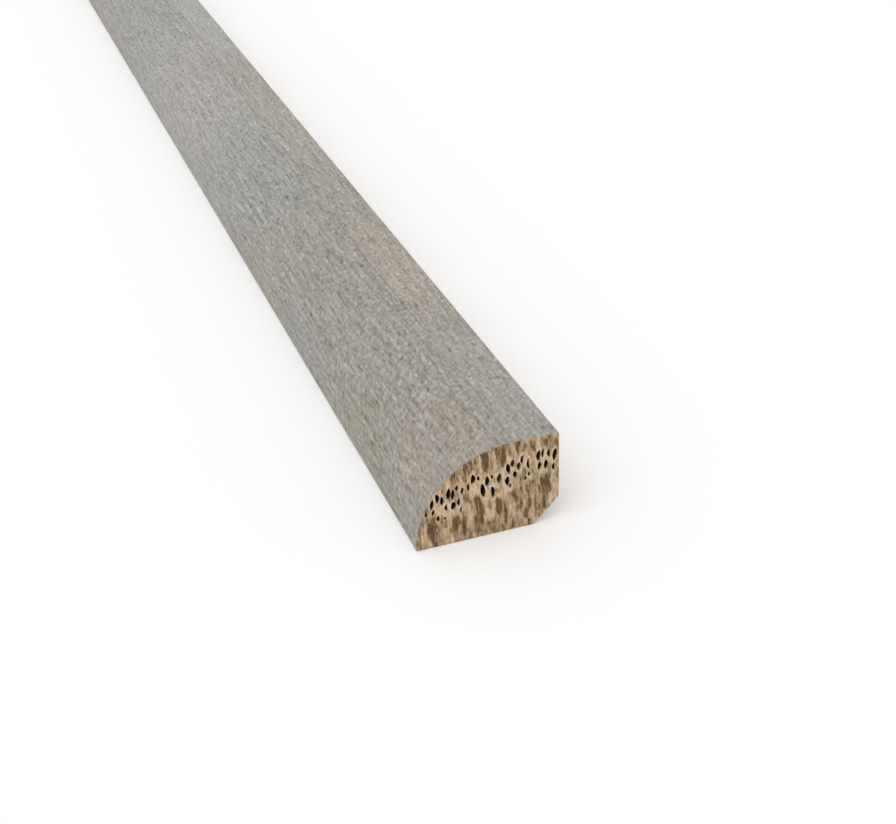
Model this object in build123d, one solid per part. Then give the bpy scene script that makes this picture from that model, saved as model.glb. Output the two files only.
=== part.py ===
"""Shoe moulding: one length of prefinished hardwood trim, milled from a single piece.

The show face is a quarter round that runs into a short flat. The two faces behind it are
square to each other, and the hidden corner between them is relieved at 45 degrees. The length
lies on its baseboard face, as it is stored: length along X, show face towards -Y, up along +Z.
The origin is the centre of its footprint on the floor.
"""

import os

from build123d import *

# Driving dimensions, in millimetres
LENGTH = 1981.2  # 78 in, a length that prefinished trim is sold in
FACE_RADIUS = 12.7  # 1/2 in, the quarter round of the show face
FACE_FLAT = 6.35  # 1/4 in, the show face's flat, from the round to the floor side
RELIEF = 3.4  # each leg of the 45 degree relief on the hidden corner

# Overall section, which the round and the flat set between them
WIDTH = FACE_RADIUS + FACE_FLAT
THICKNESS = FACE_RADIUS

# Where the section stands, across (Y) and up (Z)
TOE = -WIDTH / 2
HEEL = WIDTH / 2
ROUND_END = TOE + FACE_RADIUS
QUARTER_TURN = 90  # degrees


def moulding_section():
    """The milled profile, in the plane across the length."""
    straight_edges = Polyline(
        (TOE, 0),
        (HEEL - RELIEF, 0),
        (HEEL, RELIEF),
        (HEEL, THICKNESS),
        (ROUND_END, THICKNESS),
    )
    quarter_round = CenterArc((ROUND_END, 0), FACE_RADIUS, QUARTER_TURN, QUARTER_TURN)
    return Plane.YZ * make_face(straight_edges + quarter_round)


def shoe_moulding():
    """The section run along the whole length, with both ends sawn square."""
    return extrude(moulding_section(), amount=LENGTH / 2, both=True)


os.makedirs("parts", exist_ok=True)
export_step(shoe_moulding(), "parts/shoe_moulding.step")
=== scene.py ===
"""Looks of the shoe moulding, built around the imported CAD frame.

One closed mesh stands for the CAD node: the milled section run along the whole length, with a
lightly brushed show face and real pore pits in both sawn ends. It wears three materials: the
grey stained finish of the show face, the bare end grain, and the bare faces that are hidden once
the trim is nailed up. Sizes are in millimetres unless a name says otherwise.
"""

import math
from typing import NamedTuple

import bpy
import numpy as np
from mathutils import Matrix, Vector
from mathutils.geometry import delaunay_2d_cdt


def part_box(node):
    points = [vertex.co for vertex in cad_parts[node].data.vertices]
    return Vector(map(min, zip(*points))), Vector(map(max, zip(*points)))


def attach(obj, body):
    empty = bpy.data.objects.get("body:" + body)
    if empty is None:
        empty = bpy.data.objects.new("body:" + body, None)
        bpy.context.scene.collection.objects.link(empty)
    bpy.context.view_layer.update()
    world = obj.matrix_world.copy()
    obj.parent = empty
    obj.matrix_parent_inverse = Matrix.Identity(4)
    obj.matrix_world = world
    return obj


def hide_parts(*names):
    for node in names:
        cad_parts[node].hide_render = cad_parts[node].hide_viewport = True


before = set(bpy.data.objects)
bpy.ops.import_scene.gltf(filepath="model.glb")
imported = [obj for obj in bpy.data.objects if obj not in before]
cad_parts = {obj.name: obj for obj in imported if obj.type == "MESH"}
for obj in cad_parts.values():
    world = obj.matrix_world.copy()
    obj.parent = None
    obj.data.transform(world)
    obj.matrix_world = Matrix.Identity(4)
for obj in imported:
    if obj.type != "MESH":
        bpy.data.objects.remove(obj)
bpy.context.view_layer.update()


class Cells(NamedTuple):
    """A layer of noise: the size of a cell, a shift in cells, and how finely a cell is broken up."""

    size: tuple
    shift: tuple = (0, 0)
    detail: float = 1.0
    roughness: float = 0.5


# The section, from the frame
MM = 0.001  # a millimetre, in metres
NODE = "shoe_moulding"
HAIR = 0.01  # sizes closer than this are the same
low_corner, high_corner = (np.array(corner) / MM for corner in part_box(NODE))
LENGTH, _, THICKNESS = high_corner - low_corner
TOE = low_corner[1]
HEEL = high_corner[1]
ROUND_RADIUS = THICKNESS
ROUND_END = TOE + ROUND_RADIUS
cad_points = np.array([vertex.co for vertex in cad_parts[NODE].data.vertices]) / MM
underside = cad_points[cad_points[:, 2] < low_corner[2] + HAIR]
RELIEF = HEEL - underside[:, 1].max()  # each leg of the hidden corner's relief

# How finely the mesh is cut
EASED_EDGE = 0.2  # the softened corners of the section
EASED_STEPS = 3
ROUND_STEPS = 40
FLAT_STEPS = 12
BACK_STEPS = 6
RELIEF_STEPS = 4
SOLE_STEPS = 10
ROWS = 500  # along the length
END_GRID = 0.15  # between the points of a sawn end
GRID_SHAKE = 0.3  # of that gap, at most: how far a point stands from its place
NET_HAIR = HAIR / 100  # points of a sawn end that are closer than this are one
NET_INSIDE = 1  # asks for the triangles inside the outline only
RIM_POINTS = 20  # round a pore

# The map that the finish is baked on: the length cut into strips side by side, over a band
# that holds the two ends. Places on it run from 0 to 1.
STRIPS = 5
END_BAND = 0.21
END_SPACING = 0.31
BARE_DENSITY = 0.5  # of the pixels that the show face gets
MAP_MARGIN = 0.004

# Brushed relief of the show face
FURROW_DEPTH = 0.03
FURROW_ROWS = 160
FURROW_COLUMNS = 26
FURROW_FADE = 4  # columns of the mesh, at each edge of the show face

# Pores in the end grain: place from the toe, height, width and tallness of the black core, and how
# much of that width pale tissue fills, from its right or, below zero, from its left
OPEN_PORES = (
    (1.45, 5.0, 0.36, 0.65, 0), (2.25, 6.25, 0.54, 1.4, 0), (3.0, 7.0, 0.54, 1.35, 0),
    (3.6, 6.5, 0.5, 1.35, 0.1), (4.45, 7.3, 0.56, 1.65, 0), (5.02, 7.05, 0.5, 1.5, 0.1),
    (5.6, 7.9, 0.56, 1.0, 0.3), (7.1, 7.6, 0.52, 1.2, 0.3), (7.7, 8.65, 0.62, 1.3, 0),
    (8.4, 8.6, 0.48, 0.7, 0.2), (8.95, 6.7, 0.66, 1.95, 0), (9.55, 7.9, 0.58, 1.35, 0),
    (10.2, 8.4, 0.4, 0.65, 0.2), (10.2, 6.1, 0.68, 1.75, -0.3), (12.3, 9.05, 0.56, 1.5, 0),
    (14.2, 9.9, 0.58, 1.3, 0.3), (15.0, 9.05, 0.52, 1.7, 0.3), (12.15, 7.3, 0.6, 1.35, 0),
    (13.2, 8.0, 0.56, 1.05, 0.1), (15.1, 7.6, 0.5, 0.6, 0.25), (16.3, 10.0, 0.58, 1.45, 0),
    (16.9, 10.2, 0.44, 1.35, 0.15), (17.7, 10.0, 0.54, 1.2, 0.2), (18.5, 9.65, 0.64, 1.65, 0),
    (16.5, 8.45, 0.6, 1.15, 0.15), (17.3, 8.45, 0.6, 1.35, -0.15), (18.4, 7.9, 0.6, 1.15, 0.35),
    (2.45, 5.1, 0.48, 0.95, 0.25), (4.15, 5.4, 0.58, 1.05, 0.35), (5.05, 5.45, 0.68, 1.15, 0),
    (5.8, 5.8, 0.54, 1.15, 0.3), (3.0, 4.05, 0.44, 0.85, 0), (3.95, 3.9, 0.5, 0.4, 0.2),
    (6.0, 4.65, 0.32, 1.0, 0.2),
)
PLUGGED_PORES = (
    (6.25, 7.3, 0.44, 1.1, 0), (11.1, 7.95, 0.66, 1.6, 0), (12.9, 9.6, 0.6, 1.25, 0),
    (13.7, 9.05, 0.56, 1.25, 0), (12.6, 6.5, 0.42, 0.75, 0.2), (14.6, 7.1, 0.36, 0.7, 0.2),
    (16.1, 7.5, 0.42, 0.8, 0.2),
)
CORE_SHARE = 0.94  # of a pore's width and tallness that is black
PORE_POINT = 1.7  # 2 is an oval rim, and less than that a more pointed one
PORE_LEAN = 0.15  # radians, at most
PORE_BOW = 0.4  # of the half width, at most: bows a pore into a crescent
PORE_WOBBLE = 0.04  # of its size: each of two waves round its rim
PORE_DEPTH = 2.2
PLUGGED_DEPTH = 0.42
PIT_RINGS = ((0.06, 0.98), (0.15, 0.92), (0.4, 0.8), (1.0, 0.45))  # shares of depth and of rim
FILL_LIFT = 0.5  # of the filled share: how much of the lower half is filled too
EDGE_MARGIN = 0.12  # of wood between a pore and the edge of the end
PORE_GAP = 1.08  # of a pore's size: the rims of others keep outside this
GRID_GAP = 1.35  # of a pore's size: loose points of the end keep outside this
LINING = (0.8, 0.5)  # pale tissue close round a pore: strength, and reach in sizes of the pore
HALO = (0.5, 1.5)  # and further out
FAR_SHAKE = 0.4  # how far the left end's pores and fibre stand from the right end's

# Dark and pale fibre in the end grain: place from the toe, height, half width, half height, strength
DARK_FIBRE = (
    (9.3, 11.2, 0.6, 1.1, 1.0), (9.35, 9.9, 0.35, 0.6, 0.8), (11.75, 10.9, 0.4, 1.7, 0.9),
    (5.25, 9.45, 0.45, 0.8, 0.8), (6.8, 10.3, 0.35, 1.1, 0.7), (17.2, 11.6, 0.3, 0.8, 0.6),
    (15.75, 11.5, 0.22, 1.0, 0.6), (18.7, 11.6, 0.28, 1.0, 0.7), (13.6, 11.3, 0.22, 1.2, 0.5),
    (8.0, 11.0, 0.2, 0.9, 0.4), (10.8, 11.3, 0.22, 1.0, 0.45), (12.5, 11.4, 0.2, 0.9, 0.4),
    (14.5, 11.9, 0.2, 0.7, 0.4), (2.1, 2.7, 0.65, 1.2, 1.0), (2.5, 0.8, 0.35, 1.0, 0.7),
    (5.4, 3.2, 0.55, 1.2, 1.0), (8.15, 5.2, 0.5, 1.1, 0.9), (8.7, 3.0, 0.3, 1.4, 0.7),
    (11.0, 3.7, 0.5, 1.4, 0.9), (11.9, 2.8, 0.24, 2.7, 0.7), (17.3, 5.7, 0.85, 1.4, 1.0),
    (17.0, 2.8, 0.35, 1.5, 0.8), (6.4, 2.3, 0.3, 2.3, 0.7), (15.3, 5.7, 0.35, 1.0, 0.6),
    (13.1, 5.2, 0.3, 0.8, 0.6), (14.5, 1.9, 0.35, 1.0, 0.6), (12.9, 0.8, 0.25, 0.9, 0.7),
    (8.2, 0.9, 0.25, 0.9, 0.6), (0.6, 2.0, 0.2, 1.7, 0.6), (4.0, 2.9, 0.25, 0.6, 0.5),
    (15.9, 2.6, 0.2, 1.6, 0.5), (15.3, 3.1, 0.2, 1.0, 0.45), (14.0, 3.4, 0.2, 1.1, 0.5),
    (9.7, 4.4, 0.3, 0.7, 0.6), (9.4, 1.4, 0.2, 1.1, 0.45), (10.4, 0.7, 0.2, 0.7, 0.5),
    (4.5, 1.4, 0.2, 0.9, 0.45),
)
PALE_FIBRE = (
    (7.8, 7.1, 0.7, 0.8, 0.5), (9.4, 5.2, 0.4, 0.6, 0.4), (10.9, 5.4, 0.5, 0.5, 0.4),
    (15.2, 7.2, 0.5, 0.5, 0.5), (17.8, 9.2, 0.5, 0.4, 0.4), (3.2, 5.3, 0.6, 0.7, 0.5),
    (13.3, 7.0, 0.5, 0.6, 0.4), (12.4, 6.2, 0.4, 0.5, 0.4), (15.8, 8.3, 0.4, 0.8, 0.3),
    (7.2, 2.1, 0.45, 2.2, 0.4), (1.35, 3.4, 0.3, 1.3, 0.4), (3.7, 1.4, 0.5, 1.1, 0.4),
    (9.4, 3.2, 0.3, 1.4, 0.4), (12.4, 3.2, 0.35, 2.2, 0.35), (16.1, 4.2, 0.25, 1.8, 0.4),
    (17.9, 2.9, 0.35, 1.2, 0.4), (10.2, 2.6, 0.3, 1.3, 0.35), (18.7, 4.8, 0.25, 2.0, 0.4),
)
PATCH_REACH = 0.84  # of those half sizes: where a patch has mostly faded

# Colours of the stain, as they look; the pale one also stands for painted light on the flat top
STAIN = (153, 148, 139)
FLECK = (155, 152, 147)  # what a fleck adds to the stain or takes from it
TINTS = {
    "pale": (169, 168, 165),
    "warm": (163, 149, 138),
    "olive": (147, 146, 132),
    "slate": (149, 151, 149),
    "tan": (163, 155, 144),
}

# Tints that the photograph shows: name, distance from the right end, place across the show face
# from the toe, half length, half width, strength
NEAR_TINTS = (
    # The pale rows at 23.2 lie on the flat top: painted light that makes the top lighter than the
    # round. The pale rows at 10.0 make the face paler further from the end.
    ("pale", 16, 23.2, 22, 6, 0.3),
    ("pale", 60, 23.2, 30, 6, 0.2),
    ("pale", 128, 23.2, 30, 6, 0.45),
    ("pale", 205, 23.2, 55, 6, 0.8),
    ("pale", 160, 10.0, 55, 30, 0.54),
    ("pale", 230, 10.0, 60, 30, 0.3),
    ("warm", 4, 12.0, 12, 7, 0.7),
    ("warm", 2, 6.0, 8, 4, 0.4),
    ("warm", 76, 10.0, 8, 8, 0.2),
    ("olive", 25, 4.0, 16, 6, 0.9),
    ("olive", 42, 9.0, 18, 6, 0.35),
    ("slate", 56, 2.5, 12, 5, 0.5),
    ("slate", 104, 13.0, 26, 11, 0.55),
    ("slate", 225, 10.0, 40, 30, 0.4),
    ("tan", 56, 23.2, 20, 6, 1.0),
    ("tan", 77, 3.0, 9, 6, 0.35),
    ("tan", 118, 23.2, 24, 6, 0.65),
    ("tan", 238, 2.0, 16, 3, 0.5),
)
BROKEN_TINTS = ("warm", "olive")  # these lie in small clouds
NEAR_REACH = 290  # of the tints above, from the right end
FAR_TINTS = 150  # scattered over the rest of the length
FAR_HALF_LENGTHS = (12, 60)  # from the least to the most
FAR_HALF_WIDTHS = (4, 12)
FAR_STRENGTHS = (0.2, 0.7)

# Layers of the stain and of painted light and shade; their cells are measured along and across the
# grain
CLOUD = Cells((14, 3.5), (5, 9))  # breaks some tints up
CLOUD_EDGE = (0.25, 0.65)  # of its noise: where a broken tint starts, and where it is whole
DRIFT = Cells((40, 12), (12, 3), detail=0.0)  # bends the grain a little
GRAIN_LINE = Cells((13.0, 0.66), (31, 7), detail=2.0)
MOTTLE = Cells((4.0, 1.3), (3, 17), detail=2.0)
DUST = Cells((0.7, 0.7), (27, 11))  # a fine dense fleck
# painted light and shade: the lit and shaded sides of a noise, as if fine ridges stood in relief
PAINTED_RELIEF = Cells((2.6, 0.6), (21, 4))
PAINTED_RELIEF_GAP = (0, 0.25)  # between its painted light and painted shade sides
UNEVEN = Cells((30, 9), (8, 1))  # makes the layers stronger here and weaker there
RISING = 0.1  # slopes of the strokes that stray from the grain
FALLING = -0.07
SKEW = 0.5

# How much those layers lighten and darken the stain
LINE_SWING = 0.46
MOTTLE_SWING = 0.2
DUST_SWING = 0.15
DUST_BY_END = 0.5  # more of it by the ends
# how strongly that painted light and shade lightens and darkens the stain
PAINTED_RELIEF_SWING = 0.3
STRENGTH = 1.42  # of them all
UNEVEN_SWING = 0.4
STRENGTH_BY_END = -0.28
STRENGTH_BY_TINT = {"pale": -0.4, "warm": -0.3}
DUSTY_TO = 35  # from each end: here the fine fleck is strongest
BRUSHED_FROM = 70  # from each end: past this the stain lies mostly in strokes
TONE_BEND = 0.22  # makes light flecks stronger and dark ones weaker

# Strokes of the stain: which way they lie, their cells, where in the noise they start, and how much
# they lighten the stain or, below zero, darken it
STROKES = (
    ("level", Cells((4, 0.42), (17, 29)), 0.62, -0.22),
    ("level", Cells((4, 0.42), (9, 2)), 0.63, 0.17),
    ("rising", Cells((2.0, 0.5), (3, 5)), 0.64, -0.29),
    ("falling", Cells((1.9, 0.5), (13, 8)), 0.64, 0.29),
    ("skewed", Cells((0.9, 1.0), (7, 13)), 0.66, 0.37),
    ("skewed", Cells((0.9, 0.8), (19, 3)), 0.66, -0.36),
)
SKEWED_BY_END = -0.4  # the skewed ones are weaker by the ends
STROKE_EDGE = 0.1  # of the noise: from where a stroke starts to where it is whole

# Dark specks in the stain, and the worn dark line where the round meets the flat
SPECK = Cells((16, 9), (5, 2))
SPECK_REACH = 0.03  # of a cell
SPECK_CORE = 0.4  # of that reach
SPECK_SHARE = 0.4  # of the cells
SPECK_DOUBT = 0.05  # to each side of that share: here a speck is faint
SPECK_TONE = -0.6
CREASE_EDGE = (0.22, 0.06)  # from the seam: where the line starts, and where it is whole
CREASE_TONE = -0.25
WEAR = Cells((18, 6), (4, 4))
WEAR_EDGE = (0.3, 0.45)

# Layers of the end grain, whose cells are measured across and up
WAVE = Cells((1.8, 3.0), (9, 4), detail=2.0)
CRIMP = Cells((0.5, 0.9), (2, 12))
FIBRE = Cells((0.25, 1.1), (16, 1), detail=2.0)
GOLD = Cells((2.4, 3.5), (14, 5), detail=2.0)
VEIN = Cells((0.7, 1.0), (23, 2))
THREAD = Cells((0.6, 2.0), (5, 18))
WAVE_LEAN = 0.5  # how far the waves, the crimp and each millimetre up bend the fibre
CRIMP_LEAN = 0.3
UP_LEAN = 0.08
SHADE_PUSH = 0.24  # how far patches and tissue widen the pale streaks
TISSUE_PUSH = 0.08
GOLD_EDGE = (0.4, 0.6)
GOLDEN = (1.01, 1.0, 0.94)

# How light the end grain is, from 0 to 1, and what each layer adds
END_LIGHT = 0.225
FIBRE_SWING = 0.55
VEIN_HALF_WIDTH = 0.055  # of its noise
VEIN_LIGHT = 0.32
THREAD_HALF_WIDTH = 0.03
THREAD_LIGHT = -0.14
SHADE_LIGHT = 0.06
STREAK_START = 0.49  # of a streak's noise
STREAKS = (  # cells, light, and half of the soft edge
    (Cells((1.3, 2.9), (2, 8), detail=3.0), 0.25, 0.055),
    (Cells((0.7, 2.7), (11, 3), detail=3.0), 0.22, 0.045),
    (Cells((0.42, 2.2), (6, 1), detail=3.0), 0.17, 0.04),
)
END_COLOURS = (  # by that light
    (0.0, (82, 57, 38)),
    (0.18, (107, 81, 57)),
    (0.35, (138, 113, 85)),
    (0.6, (174, 149, 119)),
    (0.85, (198, 173, 144)),
    (1.0, (222, 200, 173)),
)
PIT_FILL_AND_SHADE = (  # by depth: where a colour starts, and where it covers. Brown is the fill of plugged pores and painted shade on the upper walls of open pits; black is painted shade deep in them
    (0.0, 0.3, (66, 46, 29)),
    (0.3, 0.9, (14, 9, 6)),
)

# Layers of the bare faces, whose cells are measured along and across the grain
BARE_STREAK = Cells((60, 1.6), detail=4.0, roughness=0.6)
BARE_FIBRE = Cells((4, 0.2), (8, 3), detail=2.0, roughness=0.6)
BARE_PORE = Cells((8, 0.3), (4, 11))
BARE_PORE_START = 0.58
KNIFE = Cells((1.4, 40), (1, 6), detail=0.0)  # marks of the planer
CREEP = Cells((9, 1.2), (2, 7), detail=3.0, roughness=0.6)
BARE_STREAK_EDGE = (0.35, 0.68)
BARE_DARK = (170, 141, 109)
BARE_PALE = (201, 176, 143)
BARE_PORE_COLOUR = (108, 81, 55)
BARE_PORE_COVER = 0.6
BARE_FIBRE_SWING = 0.5
KNIFE_SWING = 0.1
BARE_HEIGHTS = (1.0, 0.6, -0.5)  # of the knife marks, the fibre and the pores
CREEP_SWING = -3.0
CREEP_EDGE = (1.0, 0.2)  # from an edge: where crept stain starts, and where it is whole
CREEP_COVER = 0.85

# Roughness, specular level and depth of the fine relief of each material
STAINED_SURFACE = (0.6, 0.25, 0.06)
END_SURFACE = (0.85, 0.2, 0.05)
BARE_SURFACE = (0.8, 0.2, 0.05)

# Sockets of a colour mix: its share and its two colours, and its result
MIX_INPUTS = (0, 6, 7)
MIX_OUTPUT = 2

# What the materials read from the mesh, by name
MASKS = (*TINTS, "shade", "tissue", "pit_depth")
FINISH, BARE, END_GRAIN = range(3)  # the materials, in the order that the mesh wears them
SHARP_ANGLE = 25  # degrees, between faces that don't shade as one
SIDE_SEED = 11
END_SEED = 40
END_SHIFT = (40, 0)  # of the left end's grain, so that it isn't the right end's over again

# Camera, found from the outline in the photograph; offsets are from the right end's toe corner
PHOTO_WIDTH = 896  # pixels
FOCAL_LENGTH = 1512.4  # pixels
SENSOR_WIDTH = 36.0
CAMERA_BEYOND_END = 145.18
CAMERA_OUTSIDE_TOE = 44.85
CAMERA_HEIGHT = 109.33
CAMERA_YAW = 18.868  # degrees, off the length
CAMERA_PITCH = 30.523  # degrees, down
CAMERA_ROLL = -2.056  # degrees
CLIP_START = 0.01  # metres

# Studio
WORLD_LIGHT = 0.8
SUN_LIGHT = 0.25 * math.pi  # lights a face square to it as even light of 0.25 would
SUN_FROM = (0.3, -0.4, 0.87)
SUN_SPREAD = 50  # degrees
FLOOR_SIZE = 12.0  # metres
FLOOR_GAP = 0.05  # under the piece
FLOOR_GREY = 0.9


def straight(start, end, steps):
    """Points from start towards end, without the end itself."""
    share = np.arange(steps)[:, None] / steps
    return np.array(start) * (1 - share) + np.array(end) * share


def eased(start, corner, end):
    """Points that round a corner off, without the end itself."""
    share = np.arange(EASED_STEPS)[:, None] / EASED_STEPS
    near = np.array(start) * (1 - share) + np.array(corner) * share
    far = np.array(corner) * (1 - share) + np.array(end) * share
    return near * (1 - share) + far * share


def section_profile():
    """The section as a closed line of (across, up) points, and how many of them are finished."""
    slant = EASED_EDGE / math.sqrt(2)
    first_angle = math.asin(EASED_EDGE / ROUND_RADIUS)
    angles = np.linspace(first_angle, math.pi / 2, ROUND_STEPS, endpoint=False)
    quarter_round = np.stack(
        [ROUND_END - ROUND_RADIUS * np.cos(angles), ROUND_RADIUS * np.sin(angles)], axis=1
    )
    top_end = (HEEL - EASED_EDGE, THICKNESS)
    back_start = (HEEL, THICKNESS - EASED_EDGE)
    back_end = (HEEL, RELIEF + EASED_EDGE)
    relief_start = (HEEL - slant, RELIEF - slant)
    relief_end = (HEEL - RELIEF + slant, slant)
    sole_start = (HEEL - RELIEF - EASED_EDGE, 0)
    sole_end = (TOE + EASED_EDGE, 0)
    finished = [
        eased(sole_end, (TOE, 0), quarter_round[0]),
        quarter_round,
        straight((ROUND_END, THICKNESS), top_end, FLAT_STEPS),
        eased(top_end, (HEEL, THICKNESS), back_start),
    ]
    bare = [
        straight(back_start, back_end, BACK_STEPS),
        eased(back_end, (HEEL, RELIEF), relief_start),
        straight(relief_start, relief_end, RELIEF_STEPS),
        eased(relief_end, (HEEL - RELIEF, 0), sole_start),
        straight(sole_start, sole_end, SOLE_STEPS),
    ]
    return np.concatenate(finished + bare), sum(len(run) for run in finished)


def blended(count, coarse):
    """Weights that spread a few values smoothly over many evenly spaced points."""
    place = np.linspace(0, coarse - 1, count)
    first = np.minimum(place.astype(int), coarse - 2)
    share = place - first
    share = share * share * (3 - 2 * share)
    weights = np.zeros((count, coarse))
    weights[np.arange(count), first] = 1 - share
    weights[np.arange(count), first + 1] = share
    return weights


def brushed_depths(rng, rings, columns):
    """How deep the brush cut into the show face: long shallow furrows, nothing at its edges."""
    coarse = rng.uniform(0, 1, (FURROW_ROWS, FURROW_COLUMNS))
    depths = blended(rings, FURROW_ROWS) @ coarse @ blended(columns, FURROW_COLUMNS).T
    from_edge = np.minimum(np.arange(columns), columns - 1 - np.arange(columns))
    return FURROW_DEPTH * depths * np.minimum(1, from_edge / FURROW_FADE)


def outward_normals(profile):
    """The direction out of the wood at each point of the section."""
    along = np.roll(profile, -1, axis=0) - np.roll(profile, 1, axis=0)
    along /= np.linalg.norm(along, axis=1, keepdims=True)
    return np.stack([-along[:, 1], along[:, 0]], axis=1)


def inside_section(points, margin):
    """Whether (across, up) points lie inside the section, at least a margin from its edge."""
    across, up = points[:, 0], points[:, 1]
    out_of_round = np.hypot(np.minimum(across - ROUND_END, 0), up)
    past_relief = (across - up) - (HEEL - RELIEF)
    return (
        (out_of_round < ROUND_RADIUS - margin)
        & (across < HEEL - margin)
        & (up < THICKNESS - margin)
        & (up > margin)
        & (past_relief < -margin * math.sqrt(2))
    )


class Pore:
    """One vessel that the saw cut across: a tall pointed pit, deep unless it is plugged."""

    def __init__(self, rng, centre, size, filled, depth):
        self.filled = filled
        self.centre = np.array(centre)
        self.half = np.array(size) / 2 / CORE_SHARE
        self.bow = rng.uniform(-PORE_BOW, PORE_BOW)
        self.waves = rng.uniform(0, 2 * math.pi, 2)
        lean = rng.uniform(-PORE_LEAN, PORE_LEAN)
        self.turn = np.array([[math.cos(lean), -math.sin(lean)], [math.sin(lean), math.cos(lean)]])
        self.depth = depth

    def outline(self):
        """Its edge about its own middle, where 1 is half its width and half its tallness."""
        angle = np.arange(RIM_POINTS) * 2 * math.pi / RIM_POINTS
        oval = np.stack([np.cos(angle), np.sin(angle)], axis=1)
        lens = np.sign(oval) * np.abs(oval) ** (2 / PORE_POINT)
        wobble = np.sin(2 * angle + self.waves[0]) + np.sin(3 * angle + self.waves[1])
        return lens * (1 + PORE_WOBBLE * wobble[:, None])

    def placed(self, lens):
        """Such an outline bowed, leant and put where the pore is."""
        bowed = lens + np.outer(self.bow * lens[:, 1] ** 2, (1, 0))
        return self.centre + (bowed * self.half) @ self.turn.T

    def rim(self):
        """Its edge, as points that run anticlockwise."""
        return self.placed(self.outline())

    def ring(self, share):
        """A smaller copy of its edge, for inside the pit: a crescent where tissue fills it."""
        lens = share * self.outline()
        filled_side = lens[:, 0] * np.sign(self.filled) > 0
        lower_half = lens[:, 1] < 0
        lens[filled_side, 0] *= 1 - 2 * abs(self.filled)
        lens[lower_half, 1] *= 1 - FILL_LIFT * abs(self.filled)
        return self.placed(lens)

    def distance(self, points):
        """How far out points lie, where 1 is its edge."""
        local = (points - self.centre) @ self.turn / self.half
        local[:, 0] -= self.bow * np.minimum(local[:, 1] ** 2, 1)
        return (np.abs(local) ** PORE_POINT).sum(axis=1) ** (1 / PORE_POINT)


def vessel_pores(rng, shake):
    """The pores of one end, each up to a shake away from its place in the photograph."""
    pores = []
    for rows, depth in ((OPEN_PORES, PORE_DEPTH), (PLUGGED_PORES, PLUGGED_DEPTH)):
        for from_toe, up, width, tallness, filled in rows:
            centre = np.array([TOE + from_toe, up]) + shake * rng.uniform(-1, 1, 2)
            pore = Pore(rng, centre, (width, tallness), filled, depth)
            clear = all(other.distance(pore.rim()).min() > PORE_GAP for other in pores)
            if clear and inside_section(pore.rim(), EDGE_MARGIN).all():
                pores.append(pore)
    return pores


def end_points(rng, pores):
    """A loose grid of (across, up) points over a sawn end, clear of its edge and its pores."""
    across = np.arange(TOE, HEEL, END_GRID)
    up = np.arange(0, THICKNESS, END_GRID)
    points = np.stack(np.meshgrid(across, up), axis=-1).reshape(-1, 2)
    points += rng.uniform(-GRID_SHAKE, GRID_SHAKE, points.shape) * END_GRID
    keep = inside_section(points, END_GRID / 2)
    for pore in pores:
        keep &= pore.distance(points) > GRID_GAP
    return points[keep]


def loop_edges(first, count):
    """The edges of a closed loop of points that start at an index."""
    return [(first + i, first + (i + 1) % count) for i in range(count)]


def flat_net(loops, loose):
    """Triangles over the first loop, its loose points and the holes that the other loops cut."""
    starts = np.cumsum([0] + [len(loop) for loop in loops])
    flat = np.concatenate(loops + [loose])
    edges = [edge for start, loop in zip(starts, loops) for edge in loop_edges(start, len(loop))]
    corners = [Vector(point) for point in flat]
    _, _, triangles, sources, _, _ = delaunay_2d_cdt(
        corners, edges, [], NET_INSIDE, NET_HAIR
    )
    owner = np.searchsorted(starts, np.arange(len(flat)), side="right") - 1
    faces = []
    for triangle in triangles:
        corner = [sources[i][0] for i in triangle]
        owners = {int(owner[i]) for i in corner}
        in_hole = len(owners) == 1 and 1 <= min(owners) < len(loops)
        if not in_hole:
            faces.append(corner)
    return flat, faces, starts


def sawn_end(profile, pores, rng):
    """One end as (across, up, depth) points and faces; its first points are the profile's."""
    loops = [profile] + [pore.rim() for pore in pores]
    flat, faces, starts = flat_net(loops, end_points(rng, pores))
    points = [np.column_stack([flat, np.zeros(len(flat))])]
    total = len(flat)
    for pore, start in zip(pores, starts[1:]):
        ring = np.arange(start, start + RIM_POINTS)
        for deep, narrow in PIT_RINGS:
            depth = np.full(RIM_POINTS, deep * pore.depth)
            points.append(np.column_stack([pore.ring(narrow), depth]))
            lower = np.arange(total, total + RIM_POINTS)
            walls = np.stack([ring, np.roll(ring, -1), np.roll(lower, -1), lower], axis=1)
            faces += walls.tolist()
            total += RIM_POINTS
            ring = lower
        faces.append(ring.tolist())
    return np.concatenate(points), faces


def soft_patch(points, centre, half):
    """1 in the middle of an upright patch and 0 outside it, falling off smoothly."""
    distance = np.abs((points - np.array(centre)) / np.array(half) / PATCH_REACH)
    return np.exp(-(distance**3).sum(axis=1))


def fibre_shade(points, rng, shake):
    """How much paler, or darker below zero, than plain wood an end is at (across, up) points."""
    shade = np.zeros(len(points))
    for rows, sign in ((DARK_FIBRE, -1), (PALE_FIBRE, 1)):
        for from_toe, up, half_width, half_height, strength in rows:
            centre = np.array([TOE + from_toe, up]) + shake * rng.uniform(-1, 1, 2)
            shade += sign * strength * soft_patch(points, centre, (half_width, half_height))
    return shade


def pore_tissue(points, pores):
    """How much of the pale tissue that holds the pores an end has at (across, up) points."""
    tissue = np.zeros(len(points))
    for pore in pores:
        out = np.maximum(pore.distance(points) - 1, 0)
        around = sum(strength * np.exp(-((out / reach) ** 2)) for strength, reach in (LINING, HALO))
        tissue = np.maximum(tissue, around)
    return tissue


def scattered_tints(rng, face_width):
    """Tints for the length that the photograph leaves out."""
    return zip(
        rng.choice(list(TINTS), FAR_TINTS),
        rng.uniform(NEAR_REACH, LENGTH, FAR_TINTS),
        rng.uniform(0, face_width, FAR_TINTS),
        rng.uniform(*FAR_HALF_LENGTHS, FAR_TINTS),
        rng.uniform(*FAR_HALF_WIDTHS, FAR_TINTS),
        rng.uniform(*FAR_STRENGTHS, FAR_TINTS),
    )


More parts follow.
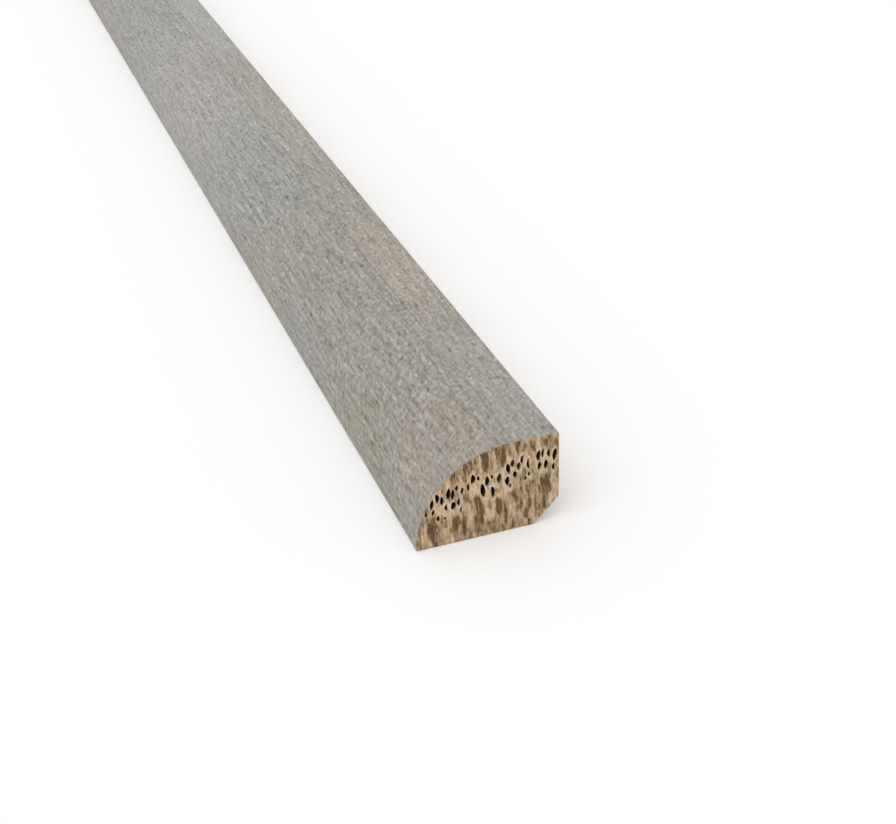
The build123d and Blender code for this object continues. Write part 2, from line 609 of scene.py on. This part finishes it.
def tint_weights(rng, from_end, across, face_width):
    """The tints of the stain, and the painted light that the pale tint lays on the flat top, in the
    order of their names, on a grid of length and profile.
    """
    seam = ROUND_RADIUS * math.pi / 2
    names = list(TINTS)
    weights = np.zeros((len(from_end), len(across), len(names)))
    for name, distance, place, half_length, half_width, strength in [
        *NEAR_TINTS,
        *scattered_tints(rng, face_width),
    ]:
        lengthwise = np.exp(-(np.abs((from_end - distance) / half_length) ** 3))
        crosswise = np.exp(-(((across - place) / half_width) ** 2))
        same_face = (across > seam) == (place > seam)
        patch = strength * lengthwise[:, None] * (crosswise * same_face)[None, :]
        index = names.index(name)
        weights[:, :, index] = np.maximum(weights[:, :, index], patch)
    return weights


class Skin:
    """The surface of the length, gathered piece by piece, with what its materials read from it."""

    def __init__(self):
        self.points = []
        self.masks = []
        self.faces = []
        self.wear = []
        self.grain = []
        self.bake = []
        self.total = 0

    def add_points(self, points, masks):
        """Adds points, and gives back the index of the first of them."""
        first = self.total
        self.points.append(points)
        self.masks.append(masks)
        self.total += len(points)
        return first

    def add_faces(self, faces, wear, grain, bake):
        """Adds faces with their material, and their corners' places on the wood and the map."""
        self.faces += faces
        self.wear.append(wear)
        self.grain.append(grain)
        self.bake.append(bake)

    def put(self, mesh, name, kind, domain, field, values):
        """Writes numbers on the mesh for the materials to read."""
        attribute = mesh.attributes.new(name, kind, domain)
        attribute.data.foreach_set(field, np.ascontiguousarray(values, np.float32).ravel())

    def mesh(self):
        """The finished Blender mesh."""
        mesh = bpy.data.meshes.new(NODE)
        mesh.from_pydata(np.concatenate(self.points) * MM, [], self.faces)
        mesh.polygons.foreach_set("material_index", np.concatenate(self.wear).astype(np.int32))
        mesh.polygons.foreach_set("use_smooth", np.ones(len(self.faces), bool))
        mesh.set_sharp_from_angle(angle=math.radians(SHARP_ANGLE))
        grain = np.concatenate(self.grain)
        grain = np.column_stack([grain, np.zeros(len(grain))])
        self.put(mesh, "grain_mm", "FLOAT_VECTOR", "CORNER", "vector", grain)
        for name, values in zip(MASKS, np.concatenate(self.masks).T):
            self.put(mesh, name, "FLOAT", "POINT", "value", values)
        layer = mesh.uv_layers.new(name="OFBake")
        layer.uv.foreach_set("vector", np.concatenate(self.bake).astype(np.float32).ravel())
        mesh.validate()
        return mesh


def strip_map(row, strip, across, finish_width, perimeter):
    """Map places of points on the sides, by row, the strip they are in, and place across."""
    rows_in_strip = ROWS // STRIPS
    finish = np.minimum(across, finish_width)
    squeezed = finish + BARE_DENSITY * (across - finish)
    full = finish_width + BARE_DENSITY * (perimeter - finish_width)
    usable = 1 - 2 * MAP_MARGIN * STRIPS
    bake_u = (strip + MAP_MARGIN * STRIPS + usable * squeezed / full) / STRIPS
    bake_v = END_BAND + (1 - END_BAND - MAP_MARGIN) * (row / rows_in_strip - strip)
    return np.dstack([bake_u, bake_v]).reshape(-1, 2)


def add_sides(skin, rng, profile, finished, along, across, end_masks):
    """Adds the long faces: the show face with its brushed relief, and the bare faces."""
    rings, columns = len(along), len(profile)
    depths = np.zeros((rings, columns))
    depths[1:-1, :finished] = brushed_depths(rng, rings - 2, finished)
    section = profile[None] - depths[:, :, None] * outward_normals(profile)[None]
    stations = np.broadcast_to(along[:, None, None], (rings, columns, 1))
    masks = np.zeros((rings, columns, len(MASKS)))
    from_end = high_corner[0] - along
    masks[:, :, : len(TINTS)] = tint_weights(rng, from_end, across[:-1], across[finished])
    for ring, values in end_masks.items():
        masks[ring, :, len(TINTS) :] = values
    skin.add_points(
        np.concatenate([stations, section], axis=2).reshape(-1, 3), masks.reshape(-1, len(MASKS))
    )
    ring, column = (grid.ravel() for grid in np.indices((rings - 1, columns)))
    corner_ring = np.stack([ring, ring + 1, ring + 1, ring], axis=1)
    corner_column = np.stack([column, column, column + 1, column + 1], axis=1)
    quads = corner_ring * columns + corner_column % columns
    strip = (ring // (ROWS // STRIPS))[:, None]
    skin.add_faces(
        quads.tolist(),
        np.where(column < finished, FINISH, BARE),
        np.dstack([along[corner_ring], across[corner_column]]).reshape(-1, 2),
        strip_map(corner_ring, strip, across[corner_column], across[finished], across[-1]),
    )


class End:
    """One sawn end: where it stands, its pores and its fibre."""

    def __init__(self, order, ring, inward, shake):
        self.order = order
        self.ring = ring
        self.inward = inward
        self.shake = shake
        self.seed = END_SEED + order
        self.pores = vessel_pores(np.random.default_rng(self.seed), shake)

    def masks(self, points, depth):
        """Shade, tissue and depth at (across, up) points."""
        shade = fibre_shade(points, np.random.default_rng(self.seed), self.shake)
        return np.column_stack([shade, pore_tissue(points, self.pores), depth])

    def add(self, skin, profile, station):
        """Adds its faces to a skin that already has the sides."""
        columns = len(profile)
        net, faces = sawn_end(profile, self.pores, np.random.default_rng(self.seed))
        fresh = net[columns:]
        masks = np.zeros((len(fresh), len(MASKS)))
        masks[:, len(TINTS) :] = self.masks(fresh[:, :2], fresh[:, 2])
        places = np.column_stack([station + self.inward * fresh[:, 2], fresh[:, :2]])
        first = skin.add_points(places, masks)
        index = np.concatenate(
            [self.ring * columns + np.arange(columns), first + np.arange(len(fresh))]
        )
        facing = [face if self.inward < 0 else face[::-1] for face in faces]
        place = net[np.concatenate(facing), :2] - (TOE, 0)
        scale = (END_BAND - 2 * MAP_MARGIN) / THICKNESS
        skin.add_faces(
            [index[face].tolist() for face in facing],
            np.full(len(facing), END_GRAIN),
            place + self.order * np.array(END_SHIFT),
            place * scale + (MAP_MARGIN + self.order * END_SPACING, MAP_MARGIN),
        )


def moulding_mesh():
    """The whole length as one closed mesh, with what its materials need to know about it."""
    profile, finished = section_profile()
    closed = np.concatenate([profile, profile[:1]])
    across = np.concatenate([[0], np.cumsum(np.linalg.norm(np.diff(closed, axis=0), axis=1))])
    along = np.linspace(low_corner[0], high_corner[0], ROWS + 1)
    right_end = End(order=0, ring=ROWS, inward=-1, shake=0.0)
    left_end = End(order=1, ring=0, inward=1, shake=FAR_SHAKE)
    ends = (right_end, left_end)
    end_masks = {end.ring: end.masks(profile, np.zeros(len(profile))) for end in ends}
    skin = Skin()
    rng = np.random.default_rng(SIDE_SEED)
    add_sides(skin, rng, profile, finished, along, across, end_masks)
    for end in ends:
        end.add(skin, profile, along[end.ring])
    return skin.mesh(), across[EASED_STEPS + ROUND_STEPS], across[finished], across[-1]


def paint(red, green, blue):
    """A colour as it looks, in steps of 0 to 255, as the linear colour that shaders take."""
    seen = np.array([red, green, blue]) / 255
    linear = np.where(seen <= 0.04045, seen / 12.92, ((seen + 0.055) / 1.055) ** 2.4)
    return (*linear, 1.0)


class Nodes:
    """A material's nodes: each call adds one and gives back the socket with its result."""

    def __init__(self, name):
        self.material = bpy.data.materials.new(name)
        self.material.use_nodes = True
        self.tree = self.material.node_tree
        self.surface = self.tree.nodes["Principled BSDF"]

    def put(self, socket, value):
        """Links a result to a socket, or writes a plain value on it."""
        if isinstance(value, bpy.types.NodeSocket):
            self.tree.links.new(value, socket)
        else:
            socket.default_value = value

    def attribute(self, name, output):
        """What the mesh says by that name."""
        node = self.tree.nodes.new("ShaderNodeAttribute")
        node.attribute_name = name
        return node.outputs[output]

    def mask(self, name):
        """One of the mesh's masks."""
        return self.attribute(name, "Fac")

    def math(self, operation, *values):
        """One step of arithmetic on numbers."""
        node = self.tree.nodes.new("ShaderNodeMath")
        node.operation = operation
        for socket, value in zip(node.inputs, values):
            self.put(socket, value)
        return node.outputs[0]

    def times(self, value, amount):
        """A product of two numbers."""
        return self.math("MULTIPLY", value, amount)

    def added(self, base, value, amount):
        """A base with some amount of a value added to it."""
        return self.math("MULTIPLY_ADD", value, amount, base)

    def total(self, *values):
        """All of those numbers together."""
        result = values[0]
        for value in values[1:]:
            result = self.math("ADD", result, value)
        return result

    def centred(self, value, amount):
        """A noise value as a swing about zero."""
        return self.times(self.math("SUBTRACT", value, 0.5), amount)

    def rise(self, value, start, end):
        """0 before start and 1 after end, with a smooth step between them."""
        node = self.tree.nodes.new("ShaderNodeMapRange")
        node.interpolation_type = "SMOOTHSTEP"
        self.put(node.inputs["Value"], value)
        self.put(node.inputs["From Min"], start)
        self.put(node.inputs["From Max"], end)
        return node.outputs[0]

    def vector(self, operation, *values):
        """One step of arithmetic on vectors."""
        node = self.tree.nodes.new("ShaderNodeVectorMath")
        node.operation = operation
        for socket, value in zip(node.inputs, values):
            self.put(socket, value)
        return node.outputs["Vector"]

    def scaled(self, vector, amount):
        """A vector or a colour times a number."""
        node = self.tree.nodes.new("ShaderNodeVectorMath")
        node.operation = "SCALE"
        self.put(node.inputs["Vector"], vector)
        self.put(node.inputs["Scale"], amount)
        return node.outputs["Vector"]

    def moved(self, place, direction, amount):
        """Places moved along a direction by a changing amount."""
        return self.vector("ADD", place, self.scaled(direction, amount))

    def parts(self, vector):
        """The three numbers of a vector."""
        node = self.tree.nodes.new("ShaderNodeSeparateXYZ")
        self.put(node.inputs[0], vector)
        return node.outputs

    def counted(self, place, cells):
        """Places measured in a layer's cells."""
        scale = (1 / cells.size[0], 1 / cells.size[1], 0)
        return self.vector("MULTIPLY_ADD", place, scale, (*cells.shift, 0))

    def noise(self, place, cells):
        """A value from 0 to 1 that wanders from cell to cell."""
        node = self.tree.nodes.new("ShaderNodeTexNoise")
        node.noise_dimensions = "2D"
        self.put(node.inputs["Vector"], self.counted(place, cells))
        self.put(node.inputs["Scale"], 1.0)
        self.put(node.inputs["Detail"], cells.detail)
        self.put(node.inputs["Roughness"], cells.roughness)
        return node.outputs[0]

    def swing(self, place, cells, amount):
        """Such a value as a swing about zero."""
        return self.centred(self.noise(place, cells), amount)

    def strokes(self, place, cells, start):
        """Uneven strokes: 1 where a noise peaks and 0 elsewhere."""
        return self.rise(self.noise(place, cells), start, start + STROKE_EDGE)

    def veins(self, place, cells, half_width):
        """Thin winding lines: 1 along the middle value of a noise and 0 elsewhere."""
        off_middle = self.math("ABSOLUTE", self.swing(place, cells, 1.0))
        return self.rise(off_middle, half_width, 0.0)

    def relief(self, place, cells, gap):
        """Light and dark sides of a noise, as if it stood in relief and light came across it."""
        beyond = self.vector("ADD", place, (*gap, 0))
        return self.math("SUBTRACT", self.noise(place, cells), self.noise(beyond, cells))

    def specks(self, place, cells, reach, share):
        """Scattered specks: 1 inside and 0 outside, on that share of the cells."""
        node = self.tree.nodes.new("ShaderNodeTexVoronoi")
        node.voronoi_dimensions = "2D"
        self.put(node.inputs["Vector"], self.counted(place, cells))
        self.put(node.inputs["Scale"], 1.0)
        inside = self.rise(node.outputs["Distance"], reach, reach * SPECK_CORE)
        draw = self.parts(node.outputs["Color"])[0]
        chosen = self.rise(draw, 1 - share - SPECK_DOUBT, 1 - share + SPECK_DOUBT)
        return self.times(inside, chosen)

    def mix(self, share, first, second):
        """A colour between two others."""
        node = self.tree.nodes.new("ShaderNodeMix")
        node.data_type = "RGBA"
        share_socket, first_socket, second_socket = (node.inputs[i] for i in MIX_INPUTS)
        self.put(share_socket, share)
        self.put(first_socket, first)
        self.put(second_socket, second)
        return node.outputs[MIX_OUTPUT]

    def ramp(self, value, stops):
        """A colour that runs through stops of (value, colour)."""
        node = self.tree.nodes.new("ShaderNodeValToRGB")
        elements = node.color_ramp.elements
        while len(elements) < len(stops):
            elements.new(1.0)
        for element, (position, colour) in zip(elements, stops):
            element.position = position
            element.color = paint(*colour)
        self.put(node.inputs["Fac"], value)
        return node.outputs["Color"]

    def finish(self, colour, height, surface):
        """The finished material, with its colour, its fine relief and its gloss."""
        roughness, specular, depth = surface
        bump = self.tree.nodes.new("ShaderNodeBump")
        self.put(bump.inputs["Height"], height)
        self.put(bump.inputs["Distance"], depth * MM)
        self.put(self.surface.inputs["Normal"], bump.outputs[0])
        self.put(self.surface.inputs["Base Color"], colour)
        self.put(self.surface.inputs["Roughness"], roughness)
        self.put(self.surface.inputs["Specular IOR Level"], specular)
        return self.material


def tinted_stain(nodes, place):
    """The colour of the stain with its cloudy tints, and the painted light that the pale tint lays on
    the flat top.
    """
    broken = nodes.rise(nodes.noise(place, CLOUD), *CLOUD_EDGE)
    colour = paint(*STAIN)
    for name, tint in TINTS.items():
        weight = nodes.mask(name)
        if name in BROKEN_TINTS:
            weight = nodes.times(weight, broken)
        colour = nodes.mix(weight, colour, paint(*tint))
    return colour


def brushed_tone(nodes, place, grain):
    """How the grain, the brush and painted light and shade as of a fine relief lighten the stain or,
    below zero, darken it.
    """
    along, across, _ = nodes.parts(place)
    rising = nodes.moved(grain, (0, 1, 0), nodes.times(along, RISING))
    falling = nodes.moved(grain, (0, 1, 0), nodes.times(along, FALLING))
    skewed = nodes.moved(rising, (1, 0, 0), nodes.times(across, SKEW))
    from_middle = nodes.math("ABSOLUTE", along)
    by_end = nodes.rise(from_middle, LENGTH / 2 - BRUSHED_FROM, LENGTH / 2 - DUSTY_TO)
    swing = nodes.total(
        nodes.swing(grain, GRAIN_LINE, LINE_SWING),
        nodes.swing(grain, MOTTLE, MOTTLE_SWING),
        nodes.swing(skewed, DUST, nodes.added(DUST_SWING, by_end, DUST_BY_END)),
        # painted light and shade: lit and shaded sides, as if fine ridges stood in relief
        nodes.times(nodes.relief(falling, PAINTED_RELIEF, PAINTED_RELIEF_GAP), PAINTED_RELIEF_SWING),
    )
    strength = nodes.total(
        STRENGTH,
        nodes.swing(place, UNEVEN, UNEVEN_SWING),
        nodes.times(by_end, STRENGTH_BY_END),
        *(nodes.times(nodes.mask(name), amount) for name, amount in STRENGTH_BY_TINT.items()),
    )
    tone = nodes.times(swing, strength)
    fields = {"level": grain, "rising": rising, "falling": falling, "skewed": skewed}
    skewed_share = nodes.added(1.0, by_end, SKEWED_BY_END)
    for way, cells, start, weight in STROKES:
        stroke = nodes.strokes(fields[way], cells, start)
        if way == "skewed":
            stroke = nodes.times(stroke, skewed_share)
        tone = nodes.added(tone, stroke, weight)
    return tone


def stained_finish(seam):
    """Grey stain under a matte coat: cloudy tints, fine grain lines, light and dark flecks, painted
    light and shade as of a fine relief, and painted light on the flat top.
    """
    nodes = Nodes("stained_finish")
    place = nodes.attribute("grain_mm", "Vector")
    grain = nodes.moved(place, (0, 1, 0), nodes.swing(place, DRIFT, 1.0))
    tone = brushed_tone(nodes, place, grain)
    tone = nodes.added(tone, nodes.specks(place, SPECK, SPECK_REACH, SPECK_SHARE), SPECK_TONE)
    from_seam = nodes.math("ABSOLUTE", nodes.math("SUBTRACT", nodes.parts(grain)[1], seam))
    worn = nodes.rise(nodes.noise(place, WEAR), *WEAR_EDGE)
    crease = nodes.times(nodes.rise(from_seam, *CREASE_EDGE), worn)
    tone = nodes.added(tone, crease, CREASE_TONE)
    tone = nodes.added(tone, nodes.times(tone, tone), TONE_BEND)
    colour = nodes.moved(tinted_stain(nodes, place), paint(*FLECK)[:3], tone)
    return nodes.finish(colour, tone, STAINED_SURFACE)


def end_grain():
    """Bare oak sawn across: upright streaks, dark fibre, pale tissue round pores made black with
    painted shade.
    """
    nodes = Nodes("end_grain")
    place = nodes.attribute("grain_mm", "Vector")
    shade, tissue, depth = (nodes.mask(name) for name in ("shade", "tissue", "pit_depth"))
    lean = nodes.total(
        nodes.swing(place, WAVE, WAVE_LEAN),
        nodes.swing(place, CRIMP, CRIMP_LEAN),
        nodes.times(nodes.parts(place)[1], UP_LEAN),
    )
    bent = nodes.moved(place, (1, 0, 0), lean)
    vein = nodes.times(nodes.veins(bent, VEIN, VEIN_HALF_WIDTH), tissue)
    light = nodes.total(
        END_LIGHT,
        nodes.swing(bent, FIBRE, FIBRE_SWING),
        nodes.times(vein, VEIN_LIGHT),
        nodes.times(nodes.veins(bent, THREAD, THREAD_HALF_WIDTH), THREAD_LIGHT),
        nodes.times(shade, SHADE_LIGHT),
    )
    push = nodes.total(nodes.times(shade, SHADE_PUSH), nodes.times(tissue, TISSUE_PUSH))
    for cells, weight, edge in STREAKS:
        streak = nodes.total(nodes.noise(bent, cells), push)
        lit = nodes.rise(streak, STREAK_START - edge, STREAK_START + edge)
        light = nodes.added(light, lit, weight)
    colour = nodes.ramp(light, END_COLOURS)
    gold = nodes.rise(nodes.noise(place, GOLD), *GOLD_EDGE)
    colour = nodes.mix(gold, colour, nodes.vector("MULTIPLY", colour, GOLDEN))
    # painted shade that darkens the pits with depth, to black deep down; brown is also the fill of
    # plugged pores
    for start, end, dark in PIT_FILL_AND_SHADE:
        colour = nodes.mix(nodes.rise(depth, start, end), colour, paint(*dark))
    return nodes.finish(colour, light, END_SURFACE)


def bare_face(first, last):
    """Bare oak planed along the grain, with stain that crept over its two long edges."""
    nodes = Nodes("bare_face")
    place = nodes.attribute("grain_mm", "Vector")
    streak = nodes.rise(nodes.noise(place, BARE_STREAK), *BARE_STREAK_EDGE)
    fibre = nodes.noise(place, BARE_FIBRE)
    pores = nodes.strokes(place, BARE_PORE, BARE_PORE_START)
    knife = nodes.noise(place, KNIFE)
    colour = nodes.mix(streak, paint(*BARE_DARK), paint(*BARE_PALE))
    colour = nodes.mix(nodes.times(pores, BARE_PORE_COVER), colour, paint(*BARE_PORE_COLOUR))
    across = nodes.parts(place)[1]
    from_first = nodes.math("SUBTRACT", across, first)
    from_last = nodes.math("SUBTRACT", last, across)
    from_edge = nodes.math("MINIMUM", from_first, from_last)
    stained = nodes.rise(nodes.total(from_edge, nodes.swing(place, CREEP, CREEP_SWING)), *CREEP_EDGE)
    colour = nodes.mix(nodes.times(stained, CREEP_COVER), colour, paint(*STAIN))
    tone = nodes.total(
        1.0, nodes.centred(fibre, BARE_FIBRE_SWING), nodes.centred(knife, KNIFE_SWING)
    )
    knife_height, fibre_height, pore_height = BARE_HEIGHTS
    height = nodes.total(
        nodes.centred(knife, knife_height),
        nodes.centred(fibre, fibre_height),
        nodes.times(pores, pore_height),
    )
    return nodes.finish(nodes.scaled(colour, tone), height, BARE_SURFACE)


def moulding():
    """The dressed length, in the place of its CAD node."""
    mesh, seam, bare_first, bare_last = moulding_mesh()
    for material in (stained_finish(seam), bare_face(bare_first, bare_last), end_grain()):
        mesh.materials.append(material)
    piece = bpy.data.objects.new("moulding", mesh)
    bpy.context.scene.collection.objects.link(piece)
    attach(piece, "root")
    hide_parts(NODE)


def photo_camera():
    """The camera that took the photograph."""
    yaw, pitch, roll = (math.radians(a) for a in (CAMERA_YAW, CAMERA_PITCH, CAMERA_ROLL))
    forward = Vector(
        (
            -math.cos(yaw) * math.cos(pitch),
            math.sin(yaw) * math.cos(pitch),
            -math.sin(pitch),
        )
    )
    level = Vector((math.sin(yaw), math.cos(yaw), 0))
    upright = level.cross(forward)
    right = level * math.cos(roll) + upright * math.sin(roll)
    up = upright * math.cos(roll) - level * math.sin(roll)
    data = bpy.data.cameras.new("photo_camera")
    data.sensor_fit = "HORIZONTAL"
    data.sensor_width = SENSOR_WIDTH
    data.lens = FOCAL_LENGTH * SENSOR_WIDTH / PHOTO_WIDTH
    data.clip_start = CLIP_START
    camera = bpy.data.objects.new("photo_camera", data)
    turn = Matrix((right, up, -forward)).transposed().to_4x4()
    place = (
        high_corner[0] + CAMERA_BEYOND_END,
        TOE - CAMERA_OUTSIDE_TOE,
        low_corner[2] + CAMERA_HEIGHT,
    )
    camera.matrix_world = Matrix.Translation(Vector(place) * MM) @ turn
    bpy.context.scene.collection.objects.link(camera)
    bpy.context.scene.camera = camera


def is_seen(tree):
    """1 on rays that show a background, straight or in a reflection, and 0 on rays that light."""
    path = tree.nodes.new("ShaderNodeLightPath")
    seen = path.outputs["Is Camera Ray"]
    for kind in ("Is Glossy Ray", "Is Transmission Ray"):
        either = tree.nodes.new("ShaderNodeMath")
        either.operation = "MAXIMUM"
        tree.links.new(seen, either.inputs[0])
        tree.links.new(path.outputs[kind], either.inputs[1])
        seen = either.outputs[0]
    return seen


def studio_world():
    """Even white light from all round, seen as plain white."""
    world = bpy.data.worlds.new("studio")
    world.use_nodes = True
    tree = world.node_tree
    strength = tree.nodes.new("ShaderNodeMapRange")
    strength.inputs["To Min"].default_value = WORLD_LIGHT
    strength.inputs["To Max"].default_value = 1.0
    tree.links.new(is_seen(tree), strength.inputs["Value"])
    background = tree.nodes["Background"]
    background.inputs["Color"].default_value = (1, 1, 1, 1)
    tree.links.new(strength.outputs[0], background.inputs["Strength"])
    bpy.context.scene.world = world


def soft_sun():
    """A broad soft light from over the show face's side."""
    data = bpy.data.lights.new("soft_sun", "SUN")
    data.energy = SUN_LIGHT
    data.angle = math.radians(SUN_SPREAD)
    sun = bpy.data.objects.new("soft_sun", data)
    sun.rotation_euler = Vector(SUN_FROM).to_track_quat("Z", "Y").to_euler()
    bpy.context.scene.collection.objects.link(sun)


def white_floor():
    """A plain white floor that keeps the object's shadow."""
    material = bpy.data.materials.new("white_floor")
    material.use_nodes = True
    tree = material.node_tree
    surface = tree.nodes["Principled BSDF"]
    surface.inputs["Base Color"].default_value = (FLOOR_GREY, FLOOR_GREY, FLOOR_GREY, 1)
    surface.inputs["Roughness"].default_value = 1.0
    surface.inputs["Specular IOR Level"].default_value = 0.0
    surface.inputs["Emission Color"].default_value = (1, 1, 1, 1)
    glow = tree.nodes.new("ShaderNodeMath")
    glow.operation = "MULTIPLY"
    glow.inputs[1].default_value = 1 - FLOOR_GREY
    tree.links.new(is_seen(tree), glow.inputs[0])
    tree.links.new(glow.outputs[0], surface.inputs["Emission Strength"])
    half = FLOOR_SIZE / 2
    level = (low_corner[2] - FLOOR_GAP) * MM
    corners = [(-half, -half, level), (half, -half, level), (half, half, level), (-half, half, level)]
    mesh = bpy.data.meshes.new("floor")
    mesh.from_pydata(corners, [], [(0, 1, 2, 3)])
    mesh.materials.append(material)
    floor = bpy.data.objects.new("floor", mesh)
    bpy.context.scene.collection.objects.link(floor)


moulding()
photo_camera()
studio_world()
soft_sun()
white_floor()
bpy.context.scene.view_settings.view_transform = "Standard"
